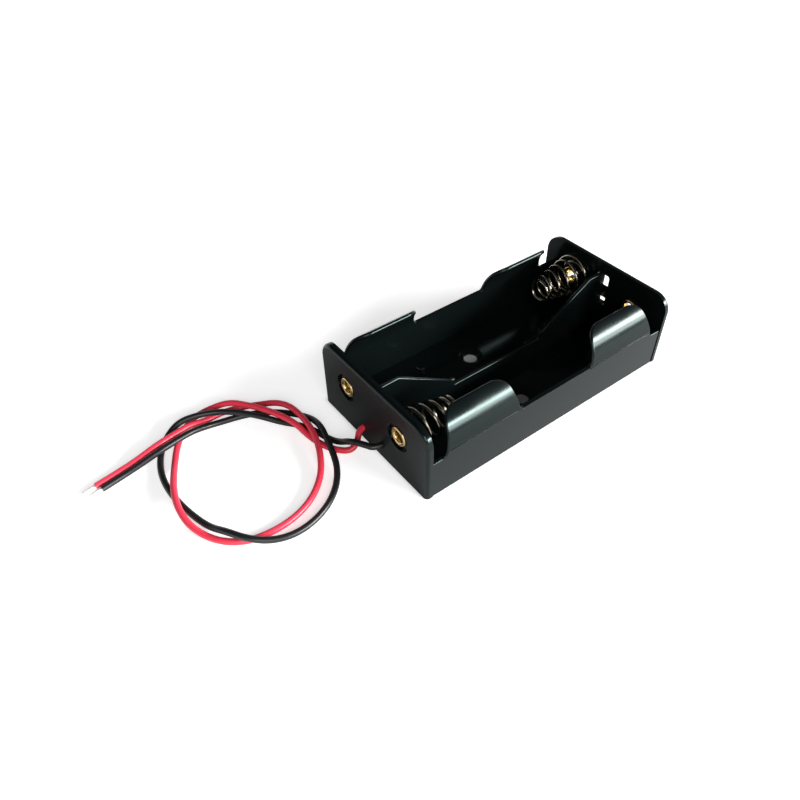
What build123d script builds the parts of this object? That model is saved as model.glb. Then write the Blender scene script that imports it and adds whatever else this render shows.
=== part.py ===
from build123d import *
from math import atan2, cos, degrees, hypot, pi, radians, sin, tan
import os

# Open holder for two size AA cells side by side, with a red and a black lead. All sizes are millimetres.
# The origin is at the middle of the underside. X runs along the cells with the leads at the -X end,
# Y runs across the bays and Z points up.

# Cells that the holder takes
cell_diameter = 14.5
cell_play = 0.1

# Housing, one moulding
inner_length = 58.2
end_wall_thickness = 1.4
floor_thickness = 1.2
side_wall_thickness = 0.85
divider_thickness = 0.8
end_wall_proud = 0.15
housing_height = 15.7
end_wall_corner = 3.6
end_wall_round = 0.8
mid_wall_height = 9.25
notch_wall_height = 8.25

# Hoods, the four curled tabs that hold the cells down
hood_gap = 2.9
hood_length = 17.2
hood_tip_angle = 60.0
hood_end_lean = 13.0
hood_corner = 3.5
hood_root_fillet = 1.0

# Divider between the bays, measured from the inner face of each end wall
divider_top = 14.05
divider_top_run = 4.7
divider_slope_run = 12.4
divider_shelf_run = 0.9
divider_shelf_height = 6.65
divider_mid_height = 5.15

# Screw holes in the floor, one on the axis of each bay
screw_hole_diameter = 2.9
countersink_diameter = 5.0
countersink_depth = 0.8

# Contacts
contact_spread = 15.7
contact_height = 9.1
eyelet_barrel_diameter = 2.8
eyelet_bore_diameter = 2.3
eyelet_head_diameter = 3.9
eyelet_head_thickness = 0.45
eyelet_head_chamfer = 0.15
recess_diameter = 5.6
recess_spare_depth = 0.05
sheet_thickness = 0.3

# Window in the far end wall and the link that crosses it
window_width = 3.1
window_bottom = 6.1
window_top = 13.2
window_corner = 0.5
link_ring_diameter = 4.4
link_neck_width = 2.8
link_neck_drop = 0.2
link_clearance = 0.15

# Springs
spring_wire_diameter = 0.55
spring_free_length = 10.4
spring_base_diameter = 9.2
spring_tip_diameter = 5.2
spring_active_turns = 4.5
spring_loop_turns = 0.8
spring_spiral_turns = 0.75
spring_end_turns = 0.75
spring_points_per_turn = 10
spring_clearance = 0.02

# Solder tags on the near end wall and the stripped lead ends on them
tag_ring_diameter = 4.4
tag_tail_width = 1.9
solder_diameter = 1.5
solder_height = 0.7
solder_clearance = 0.45
core_diameter = 0.7
core_bend = 0.5
core_reach = 0.9

# Leads, with the height of the axis of one that lies on the table and of one that lies on the other
lead_diameter = 1.2
lead_hole_offset = 2.95
lead_hole_height = 2.9
lead_hole_clearance = 0.05
lead_inner_reach = 0.2
tip_length = 2.4
low = 0.62
high = 1.95

# Share of the shorter run beside a bend that its arc takes, on springs and leads
bend_share = 0.45

# Worked out from the sizes above
bay_width = cell_diameter + cell_play
bay_y = divider_thickness / 2 + bay_width / 2
cell_z = floor_thickness + cell_diameter / 2
inner_side_y = bay_y + bay_width / 2
outer_side_y = inner_side_y + side_wall_thickness
half_width = outer_side_y + end_wall_proud
inner_x = inner_length / 2
outer_x = inner_x + end_wall_thickness
hood_end = inner_x - hood_gap
hood_start = hood_end - hood_length
hood_top = cell_z + bay_width / 2 + side_wall_thickness
hood_lean = tan(radians(hood_end_lean))
contact_y = contact_spread / 2
near_recess_depth = eyelet_head_thickness + recess_spare_depth
far_recess_depth = near_recess_depth + sheet_thickness
wire_radius = spring_wire_diameter / 2
clamped_wire = spring_wire_diameter + 2 * spring_clearance
link_neck_height = contact_height - link_neck_drop
lead_radius = lead_diameter / 2
tag_reach = (spring_base_diameter + solder_diameter) / 2 + solder_clearance
tag_length = hypot(contact_y - lead_hole_offset, contact_height - lead_hole_height)
tag_end_y = contact_y - tag_reach * (contact_y - lead_hole_offset) / tag_length
tag_end_z = contact_height - tag_reach * (contact_height - lead_hole_height) / tag_length
near, far = -1, 1
front, back = -1, 1

# Routes of the leads as they lie on the table, from the inside of the near end wall to the bared tip
lead_start_x = -(inner_x - lead_inner_reach)
red_route = [
    (lead_start_x, lead_hole_offset, lead_hole_height),
    (-31.4, lead_hole_offset, lead_hole_height), (-32.6, 1.7, 1.7), (-34.6, 1.0, low), (-37.0, 3.4, low),
    (-38.2, 6.4, low), (-38.8, 9.2, low), (-39.6, 12.4, high), (-40.7, 15.7, high), (-42.3, 19.0, high),
    (-44.4, 22.2, high), (-46.9, 25.2, high), (-50.3, 27.2, low), (-54.0, 26.9, low), (-57.2, 24.6, low),
    (-59.8, 21.4, low), (-61.7, 18.0, low), (-63.2, 14.6, 1.6), (-64.6, 11.3, high), (-65.6, 7.5, high),
    (-65.6, 3.7, 1.2), (-64.3, 0.2, low), (-62.2, -2.9, low), (-59.2, -5.0, low), (-55.6, -5.8, low),
    (-51.8, -5.8, low), (-48.2, -4.9, low), (-44.8, -3.0, low), (-41.8, -0.2, 1.0), (-39.8, 3.2, high),
    (-38.5, 6.8, high), (-37.8, 10.2, high), (-37.7, 13.8, high), (-38.1, 17.2, high), (-39.5, 20.2, 1.3),
    (-42.1, 22.3, low), (-45.4, 23.9, low), (-49.2, 24.8, low), (-52.6, 24.6, low), (-55.6, 24.1, high),
    (-59.0, 23.6, high), (-62.8, 23.0, high), (-66.8, 22.7, 1.0), (-70.8, 22.3, low), (-75.0, 21.7, low),
]
black_route = [
    (lead_start_x, -lead_hole_offset, lead_hole_height),
    (-31.8, -lead_hole_offset, lead_hole_height), (-33.1, -0.8, 3.1), (-34.4, 1.6, 2.7), (-35.5, 4.0, 1.1),
    (-36.4, 6.8, low), (-37.2, 9.9, low), (-38.9, 12.9, low), (-41.2, 15.6, low), (-43.7, 18.2, 1.6),
    (-46.5, 21.3, high), (-49.6, 24.0, high), (-53.2, 25.6, high), (-57.0, 26.2, high), (-60.4, 25.0, low),
    (-62.9, 21.7, low), (-64.6, 17.6, low), (-65.1, 13.4, low), (-64.8, 9.0, low), (-64.0, 5.0, low),
    (-62.9, 1.4, low), (-61.3, -2.1, high), (-59.2, -5.6, high), (-56.0, -7.8, 1.2), (-52.2, -8.6, low),
    (-48.0, -8.2, low), (-43.9, -6.4, low), (-40.6, -3.5, low), (-38.7, -0.5, 1.3), (-37.8, 2.5, high),
    (-37.0, 5.5, high), (-36.2, 8.7, high), (-36.1, 11.8, 1.3), (-37.0, 14.6, low), (-39.2, 17.3, low),
    (-42.4, 19.9, low), (-46.0, 21.5, low), (-49.8, 22.4, low), (-53.0, 22.7, 1.1), (-56.0, 22.3, high),
    (-59.4, 21.9, high), (-63.0, 21.3, high), (-66.8, 21.3, 1.0), (-70.6, 21.0, low), (-74.3, 20.4, low),
]


def side_wall_section():
    """Section of the back side wall, with the hood that curls over the cell above the crease."""
    rise = mid_wall_height - cell_z
    inner_half = bay_width / 2
    outer_half = inner_half + side_wall_thickness
    inner_radius = hypot(inner_half, rise)
    outer_radius = hypot(outer_half, rise)
    axis = (bay_y, cell_z)
    inner_start = degrees(atan2(rise, inner_half))
    outer_start = degrees(atan2(rise, outer_half))
    inner_arc = CenterArc(axis, inner_radius, inner_start, hood_tip_angle - inner_start)
    outer_arc = CenterArc(axis, outer_radius, outer_start, hood_tip_angle - outer_start)
    foot = Polyline(inner_arc @ 0, (inner_side_y, 0), (outer_side_y, 0), outer_arc @ 0)
    tip = Line(outer_arc @ 1, inner_arc @ 1)
    return make_face([foot, outer_arc, tip, inner_arc])


def hood_corner_x(height):
    """Where the two leaning ends of the far hood stand at a height."""
    start = hood_start + hood_lean * (height - mid_wall_height)
    end = hood_end - hood_lean * (height - notch_wall_height)
    return start, end


def side_wall_outline():
    """Outline of a side wall seen from the side: low in the middle, notched beside each end wall."""
    top_start, top_end = hood_corner_x(hood_top)
    half = [
        (inner_x, 0),
        (inner_x, notch_wall_height),
        (hood_end, notch_wall_height),
        (top_end, hood_top),
        (top_start, hood_top),
        (hood_start, mid_wall_height),
    ]
    outline = make_face(Polyline(half + [(-x, z) for x, z in reversed(half)], close=True))
    root_heights = (mid_wall_height, notch_wall_height)
    roots = [v for v in outline.vertices() if min(abs(v.Y - z) for z in root_heights) < 0.01]
    roots = [v for v in roots if abs(v.X) < inner_x - 0.01]
    return fillet(roots, hood_root_fillet)


def hood_corner_waste():
    """What the rounding takes off the two free corners of the far hood at the back."""
    base = mid_wall_height + hood_root_fillet
    base_start, base_end = hood_corner_x(base)
    top_start, top_end = hood_corner_x(hood_top)
    corners = [(base_start, base), (base_end, base), (top_end, hood_top), (top_start, hood_top)]
    outline = make_face(Polyline(corners, close=True))
    block = extrude(Plane.XZ * outline, -2 * half_width)
    reach = Vector(2 * half_width, 0)
    axis = Vector(bay_y, cell_z)
    under_tip = Polyline(axis, axis + reach, axis + reach.rotate(Axis.Z, hood_tip_angle), close=True)
    block &= extrude(Plane.YZ * make_face(under_tip), inner_x)
    tip_face = block.faces().sort_by(Axis.Y)[0]
    free_edges = [e for e in tip_face.edges() if abs((e % 0.5).Z) > 0.5]
    return block - fillet(free_edges, hood_corner)


def side_walls():
    """Both side walls with their hoods, the free corners of each hood rounded."""
    outline = extrude(Plane.XZ * side_wall_outline(), half_width, both=True)
    strip = extrude(Plane.YZ * side_wall_section(), inner_x, both=True)
    waste = hood_corner_waste()
    wall = (strip & outline) - waste - mirror(waste, Plane.YZ)
    return [wall, mirror(wall, Plane.XZ)]


def end_wall(end):
    """One end wall, a plate with rounded top corners and a soft outer edge, proud of the side walls."""
    outline = Pos(0, housing_height / 2) * Rectangle(2 * half_width, housing_height)
    outline = fillet(outline.vertices().sort_by(Axis.Y)[-2:], end_wall_corner)
    plate = extrude(Plane.YZ.offset(end * inner_x) * outline, end * end_wall_thickness)
    rim = [e for e in plate.edges() if abs(e.center().X - end * outer_x) < 0.01 and e.center().Z > 0.01]
    return fillet(rim, end_wall_round)


def divider():
    """The divider, high at the end walls, sloping to a small shelf and stepping down to its low middle."""
    slope_start = inner_x - divider_top_run
    slope_end = slope_start - divider_slope_run
    step = slope_end - divider_shelf_run
    half = [
        (inner_x, 0),
        (inner_x, divider_top),
        (slope_start, divider_top),
        (slope_end, divider_shelf_height),
        (step, divider_shelf_height),
        (step, divider_mid_height),
    ]
    outline = make_face(Polyline(half + [(-x, z) for x, z in reversed(half)], close=True))
    return extrude(Plane.XZ * outline, divider_thickness / 2, both=True)


def contact_hole(end, side, depth):
    """Hole for an eyelet's barrel and the round recess for its outer head."""
    place = Plane.YZ.offset(end * inner_x) * Pos(side * contact_y, contact_height)
    hole = extrude(place * Circle(eyelet_barrel_diameter / 2), end * end_wall_thickness)
    floor = end * (end_wall_thickness - depth)
    recess_place = Plane.YZ.offset(end * inner_x + floor) * Pos(side * contact_y, contact_height)
    recess = extrude(recess_place * Circle(recess_diameter / 2), end * depth)
    return hole + recess


def link_outline(grow):
    """Outline of the series link, two rings and a neck, grown by a clearance for its recess."""
    neck = Pos(0, link_neck_height) * Rectangle(contact_spread, link_neck_width + 2 * grow)
    for side in (front, back):
        neck += Pos(side * contact_y, contact_height) * Circle(link_ring_diameter / 2 + grow)
    return neck


def housing():
    """The moulded housing, one piece."""
    body = Pos(0, 0, floor_thickness / 2) * Box(2 * inner_x, 2 * outer_side_y, floor_thickness)
    body = body + side_walls() + divider() + end_wall(near) + end_wall(far)
    for side in (front, back):
        body -= contact_hole(near, side, near_recess_depth)
        body -= contact_hole(far, side, far_recess_depth)
        lead_hole = Circle(lead_radius + lead_hole_clearance)
        place = Plane.YZ.offset(-inner_x) * Pos(side * lead_hole_offset, lead_hole_height)
        body -= extrude(place * lead_hole, -end_wall_thickness)
        body -= Pos(0, side * bay_y) * extrude(Circle(screw_hole_diameter / 2), floor_thickness)
        sink = Cone(screw_hole_diameter / 2, countersink_diameter / 2, countersink_depth)
        body -= Pos(0, side * bay_y, floor_thickness - countersink_depth / 2) * sink
    window = Rectangle(window_width, window_top - window_bottom)
    window = Pos(0, (window_top + window_bottom) / 2) * fillet(window.vertices(), window_corner)
    body -= extrude(Plane.YZ.offset(inner_x) * window, end_wall_thickness)
    link_recess = Plane.YZ.offset(outer_x - far_recess_depth) * link_outline(link_clearance)
    body -= extrude(link_recess, far_recess_depth)
    return body


def eyelet(end, side, outer_stack, inner_stack):
    """A rolled eyelet through an end wall. The stacks are what its two heads clamp beside the wall."""
    barrel = eyelet_barrel_diameter / 2
    bore = eyelet_bore_diameter / 2
    head = eyelet_head_diameter / 2
    outer_seat = outer_x - (far_recess_depth if end == far else near_recess_depth) + outer_stack
    inner_seat = inner_x - inner_stack
    outline = [
        (bore, inner_seat - eyelet_head_thickness),
        (head, inner_seat - eyelet_head_thickness),
        (head, inner_seat),
        (barrel, inner_seat),
        (barrel, outer_seat),
        (head, outer_seat),
        (head, outer_seat + eyelet_head_thickness),
        (bore, outer_seat + eyelet_head_thickness),
    ]
    section = make_face(Polyline(outline, close=True))
    rim = [v for v in section.vertices() if abs(v.X - head) < 0.01]
    solid = revolve(Plane.XY * chamfer(rim, eyelet_head_chamfer), Axis.Y)
    turned = solid.rotate(Axis.Z, -90 * end)
    return Pos(0, side * contact_y, contact_height) * turned


def bend_radii(route):
    """Radius of the arc at each inner point, which takes the share of the shorter run beside it."""
    points = [Vector(*p) for p in route]
    radii = []
    for before, point, after in zip(points, points[1:], points[2:]):
        arriving = point - before
        leaving = after - point
        half_turn = radians(arriving.get_angle(leaving)) / 2
        radii.append(bend_share * min(arriving.length, leaving.length) * cos(half_turn) / sin(half_turn))
    return radii


def spring_points():
    """Corners of the wire's line: a loop for the eyelet, a spiral, then the cone."""
    loop = eyelet_barrel_diameter / 2 + spring_clearance + wire_radius
    base = spring_base_diameter / 2 - wire_radius
    tip = spring_tip_diameter / 2 - wire_radius
    rise = spring_free_length - spring_wire_diameter
    stretches = [
        (spring_loop_turns, loop, loop, 0, 0),
        (spring_spiral_turns, loop, base, 0, 0),
        (spring_end_turns, base, base, 0, 0),
        (spring_active_turns, base, tip, 0, rise),
        (spring_end_turns, tip, tip, rise, rise),
    ]
    corner_reach = 1 / cos(pi / spring_points_per_turn)
    points = []
    turn = 0
    for turns, radius_0, radius_1, height_0, height_1 in stretches:
        steps = round(turns * spring_points_per_turn)
        for step in range(steps):
            share = step / steps
            radius = corner_reach * (radius_0 + (radius_1 - radius_0) * share)
            angle = 2 * pi * (turn + turns * share)
            height = height_0 + (height_1 - height_0) * share
            points.append((height, radius * cos(angle), radius * sin(angle)))
        turn += turns
    return points


def spring(end, side, stack):
    """A conical spring with its wide end on an end wall, its loop under the eyelet's inner head."""
    points = spring_points()
    path = FilletPolyline(*points, radius=bend_radii(points))
    wire = sweep(Plane(origin=path @ 0, z_dir=path % 0) * Circle(wire_radius), path=path)
    if end == far:
        wire = mirror(wire, Plane.YZ)
    seat = end * (inner_x - stack - spring_clearance - wire_radius)
    return Pos(seat, side * contact_y, contact_height) * wire


def solder_tag(side):
    """A stamped tag: a ring under the eyelet's inner head and a tail down to the lead hole."""
    ring = Pos(side * contact_y, contact_height) * Circle(tag_ring_diameter / 2)
    run_y = contact_y - tag_end_y
    run_z = contact_height - tag_end_z
    tail = Rectangle(hypot(run_y, run_z), tag_tail_width)
    lean = degrees(atan2(run_z, side * run_y))
    tail = Pos(side * (contact_y + tag_end_y) / 2, (contact_height + tag_end_z) / 2) * Rot(0, 0, lean) * tail
    end = Pos(side * tag_end_y, tag_end_z) * Circle(tag_tail_width / 2)
    hole = Pos(side * contact_y, contact_height) * Circle(eyelet_barrel_diameter / 2)
    return extrude(Plane.YZ.offset(-inner_x) * (ring + tail + end - hole), sheet_thickness)


def series_link():
    """The brass strap that joins the two far eyelets across the window."""
    outline = link_outline(0)
    for side in (front, back):
        outline -= Pos(side * contact_y, contact_height) * Circle(eyelet_barrel_diameter / 2)
    return extrude(Plane.YZ.offset(outer_x - far_recess_depth) * outline, sheet_thickness)


def lead_joint(side):
    """The stripped inner end of a lead, bent up to its tag and soldered there."""
    tag_face = -inner_x + sheet_thickness
    core_radius = core_diameter / 2
    start = Vector(lead_start_x, side * lead_hole_offset, lead_hole_height)
    turn = start + Vector(core_reach, 0, 0)
    end = Vector(turn.X, side * tag_end_y, tag_end_z)
    path = FilletPolyline(start, turn, end, radius=core_bend)
    core = sweep(Plane(origin=path @ 0, z_dir=path % 0) * Circle(core_radius), path=path)
    height = lead_start_x + core_reach - tag_face + core_radius
    solder = Plane.YZ.offset(tag_face) * Pos(side * tag_end_y, tag_end_z) * Circle(solder_diameter / 2)
    return core + extrude(solder, max(height, solder_height))


def lead(name, route):
    """The insulated tube of a lead, laid along straight runs joined by tangent arcs."""
    radii = bend_radii(route)
    path = FilletPolyline(*route, radius=radii)
    tube = sweep(Plane(origin=path @ 0, z_dir=path % 0) * Circle(lead_radius), path=path)
    expected = pi * lead_radius ** 2 * path.length
    print(name, "radii", " ".join(f"{r:.1f}" for r in radii))
    print(name, f"length {path.length:.1f}, volume {tube.volume:.2f}, section times length {expected:.2f}")
    return tube


def lead_tip(route):
    """The tinned outer end of a lead, in line with its last run."""
    end = Vector(*route[-1])
    along = (end - Vector(*route[-2])).normalized()
    return extrude(Plane(origin=end, z_dir=along) * Circle(core_diameter / 2), tip_length)


parts = {
    "housing": housing(),
    "negative_spring": spring(near, front, sheet_thickness),
    "series_spring": spring(far, back, 0),
    "positive_eyelet": eyelet(near, back, 0, sheet_thickness),
    "negative_eyelet": eyelet(near, front, 0, sheet_thickness + clamped_wire),
    "series_spring_eyelet": eyelet(far, back, sheet_thickness, clamped_wire),
    "series_positive_eyelet": eyelet(far, front, sheet_thickness, 0),
    "series_link": series_link(),
    "positive_tag": solder_tag(back),
    "negative_tag": solder_tag(front),
    "red_lead": lead("red lead", red_route),
    "black_lead": lead("black lead", black_route),
    "red_lead_tip": lead_tip(red_route),
    "black_lead_tip": lead_tip(black_route),
    "red_lead_joint": lead_joint(back),
    "black_lead_joint": lead_joint(front),
}

os.makedirs("parts", exist_ok=True)
for name, shape in parts.items():
    export_step(shape, f"parts/{name}.step")
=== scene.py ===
import bpy
import bmesh
from math import cos, pi, radians, sin
from mathutils import Matrix, Vector


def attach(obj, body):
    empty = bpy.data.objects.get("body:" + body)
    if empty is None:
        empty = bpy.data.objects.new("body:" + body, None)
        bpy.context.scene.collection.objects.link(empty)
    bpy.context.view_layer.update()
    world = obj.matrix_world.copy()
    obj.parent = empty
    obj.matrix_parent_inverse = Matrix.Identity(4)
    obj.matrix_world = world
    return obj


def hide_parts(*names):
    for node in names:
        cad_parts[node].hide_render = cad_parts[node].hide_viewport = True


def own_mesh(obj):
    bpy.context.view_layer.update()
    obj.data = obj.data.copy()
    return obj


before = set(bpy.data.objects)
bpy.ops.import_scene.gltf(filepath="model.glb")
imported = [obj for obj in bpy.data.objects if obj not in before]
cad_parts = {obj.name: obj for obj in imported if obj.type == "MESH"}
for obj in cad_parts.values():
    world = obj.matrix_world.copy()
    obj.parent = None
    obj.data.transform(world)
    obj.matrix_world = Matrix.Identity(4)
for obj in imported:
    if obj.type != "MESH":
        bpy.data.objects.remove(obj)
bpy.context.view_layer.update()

mm = 0.001


# Camera
# It looks down at the near end and the front side, a little turned, from about 14 cm away.
# Its place is worked out from the housing's corners in the photograph.
camera_place = Vector((-78.85, -75.65, 98.57)) * mm
camera_target = Vector((-18.37, 6.60, 0.0)) * mm
camera_roll = radians(-1.0)
camera_data = bpy.data.cameras.new("camera")
camera_data.lens = 32.2
camera_data.sensor_width = 36.0
camera_data.shift_x = -0.0046
camera_data.shift_y = -0.0009
camera_data.clip_start = 0.005
camera = bpy.data.objects.new("camera", camera_data)
aim = (camera_target - camera_place).to_track_quat("-Z", "Y").to_matrix().to_4x4()
camera.matrix_world = Matrix.Translation(camera_place) @ aim @ Matrix.Rotation(camera_roll, 4, "Z")
bpy.context.collection.objects.link(camera)
bpy.context.scene.camera = camera


# Leads
# Two insulated stranded wires that come out of the near end wall and lie in one loose loop on the table.
# The insulation is soft PVC, red for the positive lead and black for the negative one.
lead_diameter = 1.2 * mm
lead_low = 0.62
lead_high = 1.95
red_route = [
    (-28.9, 2.95, 2.9),
    (-31.4, 2.95, 2.9), (-32.6, 1.7, 1.7), (-34.6, 1.0, lead_low), (-37.0, 3.4, lead_low),
    (-38.2, 6.4, lead_low), (-38.8, 9.2, lead_low), (-39.6, 12.4, lead_high), (-40.7, 15.7, lead_high),
    (-42.3, 19.0, lead_high), (-44.4, 22.2, lead_high), (-46.9, 25.2, lead_high), (-50.3, 27.2, lead_low),
    (-54.0, 26.9, lead_low), (-57.2, 24.6, lead_low), (-59.8, 21.4, lead_low), (-61.7, 18.0, lead_low),
    (-63.2, 14.6, 1.6), (-64.6, 11.3, lead_high), (-65.6, 7.5, lead_high), (-65.6, 3.7, 1.2),
    (-64.3, 0.2, lead_low), (-62.2, -2.9, lead_low), (-59.2, -5.0, lead_low), (-55.6, -5.8, lead_low),
    (-51.8, -5.8, lead_low), (-48.2, -4.9, lead_low), (-44.8, -3.0, lead_low), (-41.8, -0.2, 1.0),
    (-39.8, 3.2, lead_high), (-38.5, 6.8, lead_high), (-37.8, 10.2, lead_high), (-37.7, 13.8, lead_high),
    (-38.1, 17.2, lead_high), (-39.5, 20.2, 1.3), (-42.1, 22.3, lead_low), (-45.4, 23.9, lead_low),
    (-49.2, 24.8, lead_low), (-52.6, 24.6, lead_low), (-55.6, 24.1, lead_high), (-59.0, 23.6, lead_high),
    (-62.8, 23.0, lead_high), (-66.8, 22.7, 1.0), (-70.8, 22.3, lead_low), (-75.0, 21.7, lead_low),
]
black_route = [
    (-28.9, -2.95, 2.9),
    (-31.8, -2.95, 2.9), (-33.1, -0.8, 3.1), (-34.4, 1.6, 2.7), (-35.5, 4.0, 1.1),
    (-36.4, 6.8, lead_low), (-37.2, 9.9, lead_low), (-38.9, 12.9, lead_low), (-41.2, 15.6, lead_low),
    (-43.7, 18.2, 1.6), (-46.5, 21.3, lead_high), (-49.6, 24.0, lead_high), (-53.2, 25.6, lead_high),
    (-57.0, 26.2, lead_high), (-60.4, 25.0, lead_low), (-62.9, 21.7, lead_low), (-64.6, 17.6, lead_low),
    (-65.1, 13.4, lead_low), (-64.8, 9.0, lead_low), (-64.0, 5.0, lead_low), (-62.9, 1.4, lead_low),
    (-61.3, -2.1, lead_high), (-59.2, -5.6, lead_high), (-56.0, -7.8, 1.2), (-52.2, -8.6, lead_low),
    (-48.0, -8.2, lead_low), (-43.9, -6.4, lead_low), (-40.6, -3.5, lead_low), (-38.7, -0.5, 1.3),
    (-37.8, 2.5, lead_high), (-37.0, 5.5, lead_high), (-36.2, 8.7, lead_high), (-36.1, 11.8, 1.3),
    (-37.0, 14.6, lead_low), (-39.2, 17.3, lead_low), (-42.4, 19.9, lead_low), (-46.0, 21.5, lead_low),
    (-49.8, 22.4, lead_low), (-53.0, 22.7, 1.1), (-56.0, 22.3, lead_high), (-59.4, 21.9, lead_high),
    (-63.0, 21.3, lead_high), (-66.8, 21.3, 1.0), (-70.6, 21.0, lead_low), (-74.3, 20.4, lead_low),
]


grain_height = 0.05 * mm


def handled_surface():
    """Node group for a surface that has been handled: a soft change of gloss and a fine grain."""
    group = bpy.data.node_groups.new("handled_surface", "ShaderNodeTree")
    for name in ("Gloss", "Change", "Patch Scale", "Grain Scale", "Grain Depth"):
        group.interface.new_socket(name, in_out="INPUT", socket_type="NodeSocketFloat")
    group.interface.new_socket("Roughness", in_out="OUTPUT", socket_type="NodeSocketFloat")
    group.interface.new_socket("Normal", in_out="OUTPUT", socket_type="NodeSocketVector")
    nodes, links = group.nodes, group.links
    taken = nodes.new("NodeGroupInput")
    given = nodes.new("NodeGroupOutput")
    place = nodes.new("ShaderNodeTexCoord")
    patches = nodes.new("ShaderNodeTexNoise")
    patches.inputs["Detail"].default_value = 4
    grain = nodes.new("ShaderNodeTexNoise")
    grain.inputs["Detail"].default_value = 3
    links.new(place.outputs["Object"], patches.inputs["Vector"])
    links.new(place.outputs["Object"], grain.inputs["Vector"])
    links.new(taken.outputs["Patch Scale"], patches.inputs["Scale"])
    links.new(taken.outputs["Grain Scale"], grain.inputs["Scale"])
    centred = nodes.new("ShaderNodeMath")
    centred.operation = "SUBTRACT"
    centred.inputs[1].default_value = 0.5
    links.new(patches.outputs["Fac"], centred.inputs[0])
    spread = nodes.new("ShaderNodeMath")
    spread.operation = "MULTIPLY_ADD"
    links.new(centred.outputs[0], spread.inputs[0])
    links.new(taken.outputs["Change"], spread.inputs[1])
    links.new(taken.outputs["Gloss"], spread.inputs[2])
    links.new(spread.outputs[0], given.inputs["Roughness"])
    bump = nodes.new("ShaderNodeBump")
    bump.inputs["Distance"].default_value = grain_height
    links.new(taken.outputs["Grain Depth"], bump.inputs["Strength"])
    links.new(grain.outputs["Fac"], bump.inputs["Height"])
    links.new(bump.outputs["Normal"], given.inputs["Normal"])
    return group


handled = handled_surface()


def use_handled_surface(material, gloss, change, patch_scale, grain_scale, grain_depth):
    """Give a material's shader the handled surface, with its own values."""
    nodes, links = material.node_tree.nodes, material.node_tree.links
    shader = nodes["Principled BSDF"]
    surface = nodes.new("ShaderNodeGroup")
    surface.node_tree = handled
    surface.inputs["Gloss"].default_value = gloss
    surface.inputs["Change"].default_value = change
    surface.inputs["Patch Scale"].default_value = patch_scale
    surface.inputs["Grain Scale"].default_value = grain_scale
    surface.inputs["Grain Depth"].default_value = grain_depth
    links.new(surface.outputs["Roughness"], shader.inputs["Roughness"])
    links.new(surface.outputs["Normal"], shader.inputs["Normal"])


def plastic(name, colour, surface_values, specular=0.5, tint=(1, 1, 1)):
    """A plastic whose gloss changes a little over its surface, with a fine grain."""
    material = bpy.data.materials.new(name)
    material.use_nodes = True
    shader = material.node_tree.nodes["Principled BSDF"]
    shader.inputs["Base Color"].default_value = (*colour, 1)
    shader.inputs["Specular IOR Level"].default_value = specular
    shader.inputs["Specular Tint"].default_value = (*tint, 1)
    use_handled_surface(material, **surface_values)
    return material


def lay_lead(name, route, material, node):
    """One lead: a smooth line through its route, as thick as its insulation."""
    line = bpy.data.curves.new(name, "CURVE")
    line.dimensions = "3D"
    line.bevel_depth = lead_diameter / 2
    line.bevel_resolution = 6
    line.resolution_u = 12
    line.use_fill_caps = True
    spline = line.splines.new("NURBS")
    spline.points.add(len(route) - 1)
    for point, place in zip(spline.points, route):
        point.co = (*(Vector(place) * mm), 1)
    spline.order_u = 3
    spline.use_endpoint_u = True
    line.materials.append(material)
    lead = bpy.data.objects.new(name, line)
    bpy.context.collection.objects.link(lead)
    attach(lead, "holder")
    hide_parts(node)
    return lead


pvc_surface = dict(gloss=0.34, change=0.12, patch_scale=300, grain_scale=4000, grain_depth=0.15)
red_pvc = plastic("red_pvc", (0.88, 0.045, 0.085), pvc_surface)
black_pvc = plastic("black_pvc", (0.009, 0.01, 0.011), pvc_surface)
red_lead = lay_lead("red_insulation", red_route, red_pvc, "red_lead")
black_lead = lay_lead("black_insulation", black_route, black_pvc, "black_lead")


# Bared ends
# At the far end of each lead the insulation is stripped and the strands show. They are tinned copper,
# six twisted round a seventh, cut to slightly different lengths.
outer_strands = 6
strand_radius = 0.11
strand_ring = 0.23
strand_steps = 8
strand_twist = 0.3
strand_stagger = 0.12
bared_length = 2.35
bared_hidden = 0.3
metal_change = 0.15
metal_grain_scale = 5000


def metal(name, colour, roughness, mottle, mottle_scale, grain_depth):
    """A plated or drawn metal, with a faint change of tone and a fine grain."""
    material = bpy.data.materials.new(name)
    material.use_nodes = True
    nodes, links = material.node_tree.nodes, material.node_tree.links
    shader = nodes["Principled BSDF"]
    shader.inputs["Metallic"].default_value = 1.0
    place = nodes.new("ShaderNodeTexCoord")
    noise = nodes.new("ShaderNodeTexNoise")
    noise.inputs["Scale"].default_value = mottle_scale
    noise.inputs["Detail"].default_value = 5
    links.new(place.outputs["Object"], noise.inputs["Vector"])
    tones = nodes.new("ShaderNodeValToRGB")
    tones.color_ramp.elements[0].position = 0.3
    tones.color_ramp.elements[0].color = (*[c * (1 - mottle) for c in colour], 1)
    tones.color_ramp.elements[1].position = 0.7
    tones.color_ramp.elements[1].color = (*colour, 1)
    links.new(noise.outputs["Fac"], tones.inputs["Fac"])
    links.new(tones.outputs["Color"], shader.inputs["Base Color"])
    use_handled_surface(material, roughness, metal_change, mottle_scale, metal_grain_scale, grain_depth)
    return material


tinned_copper = metal("tinned_copper", (0.82, 0.80, 0.76), 0.3, 0.15, 900, 0.3)


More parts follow.
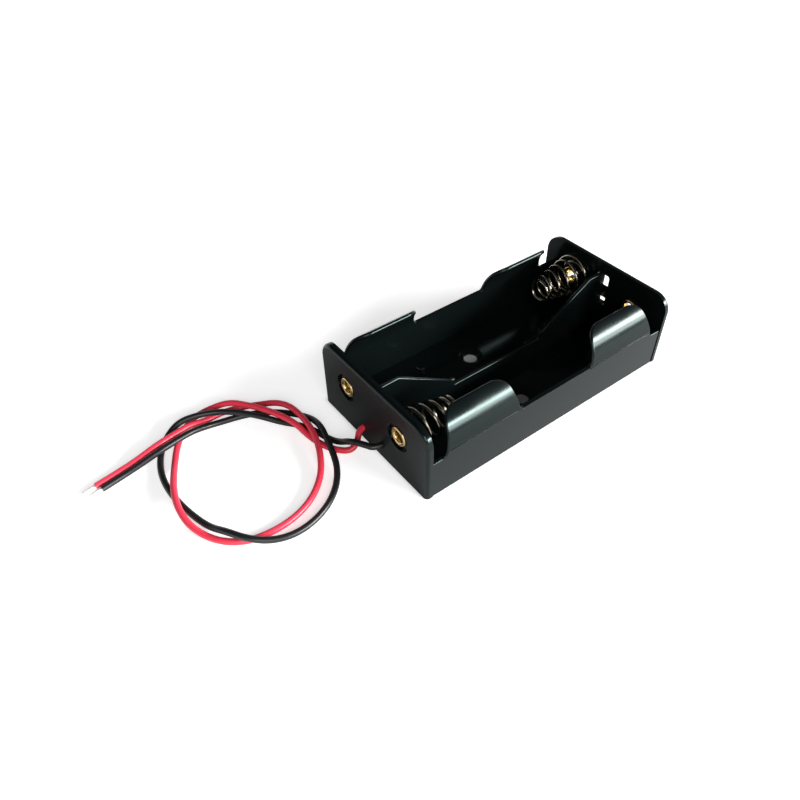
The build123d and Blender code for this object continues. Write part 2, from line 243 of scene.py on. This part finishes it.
def wire_mesh(name, runs, radius, material, resolution=3):
    """A mesh of round wires, each along a smooth line through its points."""
    line = bpy.data.curves.new(name, "CURVE")
    line.dimensions = "3D"
    line.bevel_depth = radius * mm
    line.bevel_resolution = 3
    line.resolution_u = resolution
    line.use_fill_caps = True
    for points in runs:
        spline = line.splines.new("NURBS")
        spline.points.add(len(points) - 1)
        for point, place in zip(spline.points, points):
            point.co = (*(Vector(place) * mm), 1)
        spline.order_u = 4
        spline.use_endpoint_u = True
    wire = bpy.data.objects.new(name + "_line", line)
    bpy.context.collection.objects.link(wire)
    bpy.context.view_layer.update()
    mesh = bpy.data.meshes.new_from_object(wire.evaluated_get(bpy.context.evaluated_depsgraph_get()))
    bpy.data.objects.remove(wire)
    mesh.materials.clear()
    mesh.materials.append(material)
    mesh.shade_smooth()
    return mesh


def place_piece(name, mesh, nodes):
    """Put a finished mesh in the scene as a piece of the holder, in the place of its CAD nodes."""
    piece = bpy.data.objects.new(name, mesh)
    bpy.context.collection.objects.link(piece)
    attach(piece, "holder")
    if nodes:
        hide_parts(*nodes)
    return piece


def bare_end(name, route, node):
    """Six strands twisted round a seventh, in line with the end of the lead."""
    end = Vector(route[-1])
    along = (end - Vector(route[-2])).normalized()
    across = along.cross(Vector((0, 0, 1))).normalized()
    over = across.cross(along)
    runs = [[end - along * bared_hidden, end + along * bared_length * 0.5, end + along * bared_length]]
    for strand in range(outer_strands):
        reach = bared_length - strand_stagger * (strand % 3)
        points = []
        for step in range(strand_steps + 1):
            run = -bared_hidden + (reach + bared_hidden) * step / strand_steps
            angle = 2 * pi * (strand / outer_strands + strand_twist * run)
            points.append(end + along * run + (across * cos(angle) + over * sin(angle)) * strand_ring)
        runs.append(points)
    place_piece(name, wire_mesh(name, runs, strand_radius, tinned_copper), [node])


bare_end("red_strands", red_route, "red_lead_tip")
bare_end("black_strands", black_route, "black_lead_tip")


# Table and light
# A white table in a pale room with a dark ceiling. A wide low window at the front right, brighter above
# than at its sill, draws the bands on the hoods. A weak lamp at the front left fills the shadows.
bpy.context.scene.view_settings.view_transform = "Standard"
housing_half_length = 30.5
housing_half_width = 16.0
table_half_size = 0.45
table_lift = 0.62
seen_shade = (-1.5, 1.0)
mirrored_shade = (4.0, 40.0)
lamp_distance = 1.5
table = bmesh.new()
bmesh.ops.create_grid(table, x_segments=1, y_segments=1, size=table_half_size)
table_mesh = bpy.data.meshes.new("table")
table.to_mesh(table_mesh)
table.free()
table_top = bpy.data.objects.new("table", table_mesh)
bpy.context.collection.objects.link(table_top)


def white_paint():
    """Matt white, lifted where the camera, gloss or glass sees it, but not under the housing.

    What gloss and glass see stays unlifted close to the housing too, which paints a shade round the
    housing into reflections.
    """
    material = bpy.data.materials.new("table_paint")
    material.use_nodes = True
    nodes, links = material.node_tree.nodes, material.node_tree.links
    shader = nodes["Principled BSDF"]
    shader.inputs["Base Color"].default_value = (0.86, 0.86, 0.86, 1)
    shader.inputs["Roughness"].default_value = 0.9
    shader.inputs["Specular IOR Level"].default_value = 0.0
    shader.inputs["Emission Color"].default_value = (1, 1, 1, 1)

    def worked_out(operation, *inputs):
        node = nodes.new("ShaderNodeMath")
        node.operation = operation
        for socket, value in zip(node.inputs, inputs):
            if isinstance(value, bpy.types.NodeSocket):
                links.new(value, socket)
            else:
                socket.default_value = value
        return node.outputs[0]

    rays = nodes.new("ShaderNodeLightPath").outputs
    mirrored = worked_out("MAXIMUM", rays["Is Glossy Ray"], rays["Is Transmission Ray"])
    split = nodes.new("ShaderNodeSeparateXYZ")
    links.new(nodes.new("ShaderNodeTexCoord").outputs["Object"], split.inputs[0])
    beside = worked_out("SUBTRACT", worked_out("ABSOLUTE", split.outputs["X"]), housing_half_length * mm)
    before = worked_out("SUBTRACT", worked_out("ABSOLUTE", split.outputs["Y"]), housing_half_width * mm)
    gap = worked_out("MAXIMUM", beside, before)

    def outside(start, end):
        spread = nodes.new("ShaderNodeMapRange")
        spread.interpolation_type = "SMOOTHSTEP"
        spread.inputs["From Min"].default_value = start * mm
        spread.inputs["From Max"].default_value = end * mm
        links.new(gap, spread.inputs["Value"])
        return spread.outputs["Result"]

    # The lift fades in from under the housing to just beyond its foot, a thin painted contact shade.
    seen = worked_out("MULTIPLY", rays["Is Camera Ray"], outside(*seen_shade))
    # Reflections see the table unlifted within 4 mm of the housing and fully lifted only 40 mm out:
    # painted shade round it.
    reflected = worked_out("MULTIPLY", mirrored, outside(*mirrored_shade))
    lift = worked_out("MULTIPLY", worked_out("MAXIMUM", seen, reflected), table_lift)
    links.new(lift, shader.inputs["Emission Strength"])
    return material


table_mesh.materials.append(white_paint())

room = bpy.data.worlds.new("room")
bpy.context.scene.world = room
room.use_nodes = True
room_nodes, room_links = room.node_tree.nodes, room.node_tree.links
room_height = room_nodes.new("ShaderNodeSeparateXYZ")
room_links.new(room_nodes.new("ShaderNodeTexCoord").outputs["Generated"], room_height.inputs[0])
room_walls = room_nodes.new("ShaderNodeValToRGB")
room_walls.color_ramp.interpolation = "EASE"
room_walls.color_ramp.elements[0].position = 0.17
room_walls.color_ramp.elements[0].color = (1, 1, 1, 1)
room_walls.color_ramp.elements[1].position = 0.5
room_walls.color_ramp.elements[1].color = (0.05, 0.05, 0.05, 1)
room_links.new(room_height.outputs["Z"], room_walls.inputs["Fac"])
room_links.new(room_walls.outputs["Color"], room_nodes["Background"].inputs["Color"])


def soft_lamp(name, direction, width, height, watts):
    """A rectangular soft lamp that points at the holder."""
    data = bpy.data.lights.new(name, "AREA")
    data.shape = "RECTANGLE"
    data.size = width
    data.size_y = height
    data.energy = watts
    lamp = bpy.data.objects.new(name, data)
    place = Vector(direction).normalized() * lamp_distance
    turn = (-place).to_track_quat("-Z", "Y").to_matrix().to_4x4()
    lamp.matrix_world = Matrix.Translation(place) @ turn
    bpy.context.collection.objects.link(lamp)


soft_lamp("window_lamp", (0.602, -0.718, 0.35), 1.4, 0.19, 47)
soft_lamp("sill_lamp", (0.628, -0.748, 0.213), 1.4, 0.24, 18)
soft_lamp("room_lamp", (-0.35, -0.75, 0.5), 0.9, 0.6, 9)


# Housing
# One moulding of black ABS, semi-gloss, with thin walls and edges that the mould leaves a little round.
# The metal pieces are riveted into it and the leads pass through its near end wall.
floor_thickness = 1.2
end_wall_inner = 29.1
end_face_x = 30.45
end_face_roughness = 0.22
top_edge_round = 0.36
clear_of_floor = 1
clear_of_end_wall = 0.3
weld_distance = 0.002
flat_turn = radians(0.5)
sharp_turn = radians(35)
round_turn = 32
wide_round_turn = 60
abs_surface = dict(gloss=0.16, change=0.13, patch_scale=120, grain_scale=2600, grain_depth=0.06)
black_abs = plastic(
    "black_abs", (0.0026, 0.0042, 0.0042), abs_surface, specular=0.265, tint=(0.76, 1.0, 0.96),
)


def matt_ends(material, beyond, extra):
    """Make the outer faces of both end walls rougher, as the eroded end plates of the mould leave them."""
    nodes, links = material.node_tree.nodes, material.node_tree.links
    roughness = nodes["Principled BSDF"].inputs["Roughness"]
    split = nodes.new("ShaderNodeSeparateXYZ")
    links.new(nodes.new("ShaderNodeTexCoord").outputs["Object"], split.inputs[0])
    size = nodes.new("ShaderNodeMath")
    size.operation = "ABSOLUTE"
    links.new(split.outputs["X"], size.inputs[0])
    outside = nodes.new("ShaderNodeMath")
    outside.operation = "GREATER_THAN"
    outside.inputs[1].default_value = beyond * mm
    links.new(size.outputs[0], outside.inputs[0])
    rougher = nodes.new("ShaderNodeMath")
    rougher.operation = "MULTIPLY_ADD"
    rougher.inputs[1].default_value = extra
    links.new(outside.outputs[0], rougher.inputs[0])
    links.new(roughness.links[0].from_socket, rougher.inputs[2])
    links.new(rougher.outputs[0], roughness)


matt_ends(black_abs, end_face_x, end_face_roughness)


def merged_copy(node):
    """The CAD node's own shape in millimetres, with its loose triangles joined into whole faces."""
    shape = bmesh.new()
    shape.from_mesh(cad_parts[node].data)
    bmesh.ops.scale(shape, vec=(1 / mm, 1 / mm, 1 / mm), verts=shape.verts)
    bmesh.ops.remove_doubles(shape, verts=shape.verts, dist=weld_distance)
    bmesh.ops.dissolve_limit(shape, angle_limit=flat_turn, verts=shape.verts, edges=shape.edges)
    return shape


def round_edges(shape, edges, size, segments):
    """Round chosen edges of a shape."""
    bmesh.ops.bevel(
        shape, geom=edges, offset=size, offset_type="OFFSET", affect="EDGES",
        segments=segments, profile=0.5, material=-1, clamp_overlap=False,
    )


def finish_mesh(name, shape, material, smooth_below=round_turn):
    """Turn a shape in millimetres into a mesh in metres, smooth where it is round."""
    bmesh.ops.scale(shape, vec=(mm, mm, mm), verts=shape.verts)
    mesh = bpy.data.meshes.new(name)
    shape.to_mesh(mesh)
    shape.free()
    mesh.shade_smooth()
    mesh.set_sharp_from_angle(angle=radians(smooth_below))
    mesh.materials.append(material)
    return mesh


def shade_evenly(piece):
    """Keep large flat faces flat in the light beside their small round edges."""
    even_shade = piece.modifiers.new("even_shade", "WEIGHTED_NORMAL")
    even_shade.keep_sharp = True


def is_sharp(edge):
    """An edge where two faces meet at a clear angle."""
    return len(edge.link_faces) == 2 and edge.calc_face_angle() > sharp_turn


def is_wall_top(edge):
    """An edge of the hoods, the side walls or the divider that is clear of the floor and the end walls."""
    low = min(v.co.z for v in edge.verts)
    clear = min(abs(v.co.x) for v in edge.verts)
    return low > floor_thickness + clear_of_floor and clear < end_wall_inner - clear_of_end_wall


shell = merged_copy("housing")
round_edges(shell, [e for e in shell.edges if is_sharp(e) and is_wall_top(e)], top_edge_round, segments=4)
shell_mesh = finish_mesh("moulded_housing", shell, black_abs)
shade_evenly(place_piece("moulded_housing", shell_mesh, ["housing"]))


# Springs
# Conical springs of nickel plated steel wire. The wide end lies on an end wall, where the wire runs in
# to a loop that the eyelet clamps. The small end presses on the cell, which pushes it towards the wall.
contact_y = 7.85
contact_z = 9.1
spring_wire_radius = 0.275
spring_steps = 16
loop_radius = 1.675
base_radius = 4.325
tip_radius = 2.325
spring_rise = 9.85
spring_turns = [
    (0.8, loop_radius, loop_radius, 0, 0),
    (0.75, loop_radius, base_radius, 0, 0),
    (0.75, base_radius, base_radius, 0, 0),
    (4.5, base_radius, tip_radius, 0, spring_rise),
    (0.75, tip_radius, tip_radius, spring_rise, spring_rise),
]
spring_wire = metal("spring_wire", (0.50, 0.46, 0.37), 0.18, 0.4, 500, 0.08)


def wind_spring(name, node, seat, side, direction):
    """A spring wound along its own line from its seat, the middle of the wire that lies on the wall."""
    points = []
    turned = 0
    for turns, radius_0, radius_1, height_0, height_1 in spring_turns:
        steps = round(turns * spring_steps)
        for step in range(steps):
            share = step / steps
            radius = radius_0 + (radius_1 - radius_0) * share
            angle = 2 * pi * (turned + turns * share)
            height = height_0 + (height_1 - height_0) * share
            points.append((
                seat + direction * height,
                side * contact_y + radius * cos(angle),
                contact_z + radius * sin(angle),
            ))
        turned += turns
    mesh = wire_mesh(name, [points], spring_wire_radius, spring_wire)
    spring = place_piece(name, mesh, [node])
    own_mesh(spring)


wind_spring(
    "front_coil", "negative_spring",
    seat=-28.505, side=-1, direction=1,
)
wind_spring(
    "back_coil", "series_spring",
    seat=28.805, side=1, direction=-1,
)


# Eyelets
# Brass tubes pushed through the end walls and rolled over on both sides, so that they clamp the springs,
# the tags and the link.
brass = metal("brass", (0.77, 0.60, 0.28), 0.22, 0.3, 700, 0.15)
eyelet_steps = 40
eyelet_outer_seat = 30.0
eyelet_roll = [
    (0, 1.4), (0, 1.8), (0.06, 1.92), (0.2, 1.95), (0.35, 1.9), (0.43, 1.75), (0.45, 1.55),
    (0.4, 1.36), (0.28, 1.23), (0.1, 1.16),
]


def roll_eyelet(name, node, end, side, inner_seat):
    """An eyelet, spun from the outline of its two rolled heads and its barrel."""
    outline = [(eyelet_outer_seat + depth, radius) for depth, radius in eyelet_roll]
    outline += [(inner_seat - depth, radius) for depth, radius in reversed(eyelet_roll)]
    centre = Vector((0, side * contact_y, contact_z))
    shape = bmesh.new()
    ring = [shape.verts.new(centre + Vector((end * x, radius, 0))) for x, radius in outline]
    edges = [shape.edges.new(pair) for pair in zip(ring, ring[1:] + ring[:1])]
    bmesh.ops.spin(
        shape, geom=ring + edges, cent=centre, axis=(1, 0, 0), angle=2 * pi, steps=eyelet_steps,
        use_merge=True,
    )
    bmesh.ops.recalc_face_normals(shape, faces=shape.faces)
    place_piece(name, finish_mesh(name, shape, brass, wide_round_turn), [node])


roll_eyelet("positive_contact", "positive_eyelet", end=-1, side=1, inner_seat=28.8)
roll_eyelet("negative_contact", "negative_eyelet", end=-1, side=-1, inner_seat=28.21)
roll_eyelet("series_spring_contact", "series_spring_eyelet", end=1, side=1, inner_seat=28.51)
roll_eyelet("series_positive_contact", "series_positive_eyelet", end=1, side=-1, inner_seat=29.1)


# Link and solder tags
# Stamped from thin brass sheet, with edges that the punch leaves a little round. The link joins the two
# far eyelets in a recess of the end wall, and the tags lie under the near ones.
stamped_round = 0.05
for name, node in (
    ("link_strap", "series_link"),
    ("red_tag", "positive_tag"),
    ("black_tag", "negative_tag"),
):
    stamped = merged_copy(node)
    round_edges(stamped, [e for e in stamped.edges if is_sharp(e)], stamped_round, segments=2)
    stamped_mesh = finish_mesh(name, stamped, brass, wide_round_turn)
    shade_evenly(place_piece(name, stamped_mesh, [node]))


# Solder joints
# The stripped inner end of each lead turns up to its tag and is held there by a drop of tin solder.
solder_tin = metal("solder_tin", (0.74, 0.74, 0.75), 0.2, 0.12, 800, 0.1)
core_radius = 0.33
core_route = [
    (-28.9, 2.95, 2.9), (-28.4, 2.95, 2.9), (-28.0, 3.0, 2.95), (-28.0, 3.5, 3.6), (-28.0, 4.25, 4.55),
]
drop_radius = 0.75
drop_flatness = 0.8
drop_x, drop_y, drop_z = -28.2, 4.25, 4.55
for name, node, side in (("red_solder", "red_lead_joint", 1), ("black_solder", "black_lead_joint", -1)):
    run = [(x, side * y, z) for x, y, z in core_route]
    core = wire_mesh(name, [run], core_radius, solder_tin, resolution=6)
    drop = bmesh.new()
    drop.from_mesh(core)
    bmesh.ops.scale(drop, vec=(1 / mm, 1 / mm, 1 / mm), verts=drop.verts)
    ball = bmesh.ops.create_uvsphere(drop, u_segments=28, v_segments=16, radius=drop_radius)["verts"]
    bmesh.ops.scale(drop, vec=(drop_flatness, 1, 1), verts=ball)
    bmesh.ops.translate(drop, vec=(drop_x, side * drop_y, drop_z), verts=ball)
    place_piece(name, finish_mesh(name, drop, solder_tin, wide_round_turn), [node])


# Moulded marks
# Small raised polarity signs on the floors of the bays, and the fine line that the mould leaves where
# each hood begins to curl. They are part of the moulding.
mark_length = 2.6
mark_width = 0.5
mark_height = 0.08
mark_round = 0.035
crease_x, crease_y, crease_z = 17.6, 15.84, 9.25
crease_length = 15.4
crease_width = 0.12
crease_height = 0.18
marks = bmesh.new()


def raise_bar(x, y, z, length, width, height):
    """A low bar with its middle at a point."""
    bar = bmesh.ops.create_cube(marks, size=1)["verts"]
    bmesh.ops.scale(marks, vec=(length, width, height), verts=bar)
    bmesh.ops.translate(marks, vec=(x, y, z), verts=bar)


mark_middle = floor_thickness + mark_height / 2
for x, y, sign in (
    (-11.5, 10.2, "plus"),
    (15.0, 7.7, "minus"),
    (-15.0, -7.7, "minus"),
    (11.5, -10.2, "plus"),
):
    raise_bar(x, y, mark_middle, mark_length, mark_width, mark_height)
    if sign == "plus":
        raise_bar(x, y, mark_middle, mark_width, mark_length, mark_height)
for end in (-1, 1):
    for side in (-1, 1):
        raise_bar(end * crease_x, side * crease_y, crease_z, crease_length, crease_width, crease_height)
round_edges(marks, marks.edges[:], mark_round, segments=2)
marks_mesh = finish_mesh("moulded_marks", marks, black_abs, wide_round_turn)
place_piece("moulded_marks", marks_mesh, [])
